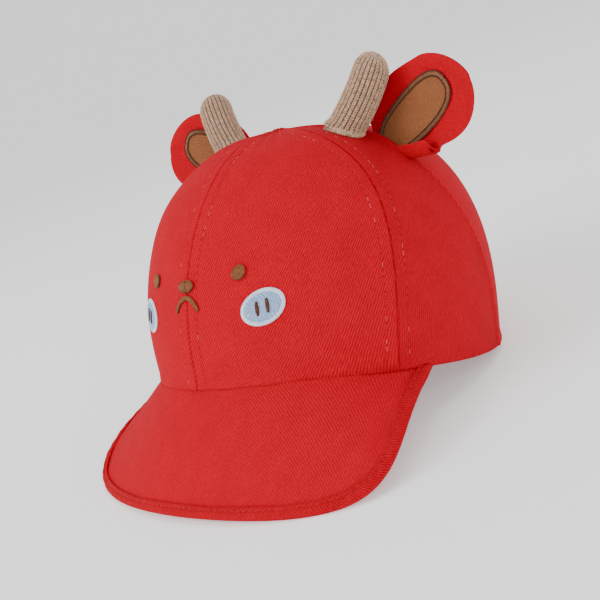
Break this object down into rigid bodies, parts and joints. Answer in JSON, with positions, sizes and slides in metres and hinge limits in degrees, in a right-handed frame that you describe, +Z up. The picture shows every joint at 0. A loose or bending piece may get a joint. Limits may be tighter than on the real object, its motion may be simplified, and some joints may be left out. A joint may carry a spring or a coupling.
{
  "type": "baby baseball cap",
  "caption": "Soft red baby cap with a drooping peak, cupped ears, knitted horns and an embroidered animal face.",
  "frame": {"origin": "middle of the cap's box on the surface that it rests on", "axes": "-Y to the cap's front, where the peak is, +X to the wearer's left, +Z up"},
  "size_m": [0.177, 0.1996, 0.134],
  "materials": {
    "twill": "matte cotton twill with stitched seams",
    "binding": "matte twill cut on the cross",
    "knit": "matte ribbed knit",
    "brown_cloth": "matte brushed cloth with a satin-stitched edge",
    "brown_thread": "satin embroidery thread",
    "pale_thread": "satin embroidery thread"
  },
  "bodies": {
    "root": {"front_panel_left": "twill", "side_panel_left": "twill", "back_panel_left": "twill", "eye_left": "brown_thread", "cheek_left": "pale_thread", "horn_left": "knit", "ear_left": "twill", "ear_patch_left": "brown_cloth", "front_panel_right": "twill", "side_panel_right": "twill", "back_panel_right": "twill", "eye_right": "brown_thread", "cheek_right": "pale_thread", "horn_right": "knit", "ear_right": "twill", "ear_patch_right": "brown_cloth", "nose": "brown_thread", "mouth": "brown_thread", "peak": "twill", "peak_binding": "binding"}
  },
  "joints": []
}
